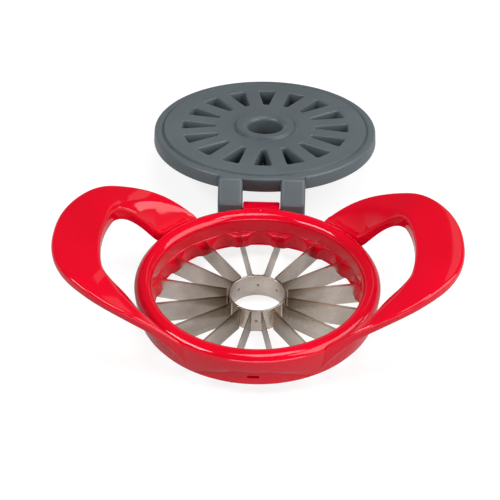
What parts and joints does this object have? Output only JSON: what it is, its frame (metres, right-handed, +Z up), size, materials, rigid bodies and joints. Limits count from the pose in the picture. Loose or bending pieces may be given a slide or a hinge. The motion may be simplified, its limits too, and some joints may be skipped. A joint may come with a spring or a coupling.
{
  "type": "fruit slicer",
  "caption": "Red ring with two looped handles, radial steel blades round a core tube, and a grey push plate on a hinge at the back, standing open.",
  "frame": {"origin": "on the axis of the core tube, level with the lower edges of the blades and the tube, where the part stands on a table", "axes": "+Z up along the core tube, +Y from the core tube towards the hinge and the open push plate, +X towards the right-hand handle as seen from the front"},
  "size_m": [0.197, 0.2506, 0.048],
  "materials": {
    "red_plastic": "glossy moulded red",
    "grey_plastic": "satin moulded blue-grey",
    "steel": "brushed, with spot welds",
    "pin_steel": "plain drawn wire"
  },
  "bodies": {
    "frame": {"handle_frame": "red_plastic", "blade_ring": "red_plastic", "blade_strip_1": "steel", "blade_strip_2": "steel", "blade_strip_3": "steel", "blade_strip_4": "steel", "blade_strip_5": "steel", "blade_strip_6": "steel", "blade_strip_7": "steel", "blade_strip_8": "steel", "core_tube": "steel", "hinge_pin": "pin_steel"},
    "plate": {"push_plate": "grey_plastic"}
  },
  "joints": [
    {"name": "plate_hinge", "type": "hinge", "parent": "frame", "child": "plate", "pos_m": [0, 0.0641, 0.016], "axis": [-1, 0, 0], "range_deg": [-10, 174.7]}
  ]
}
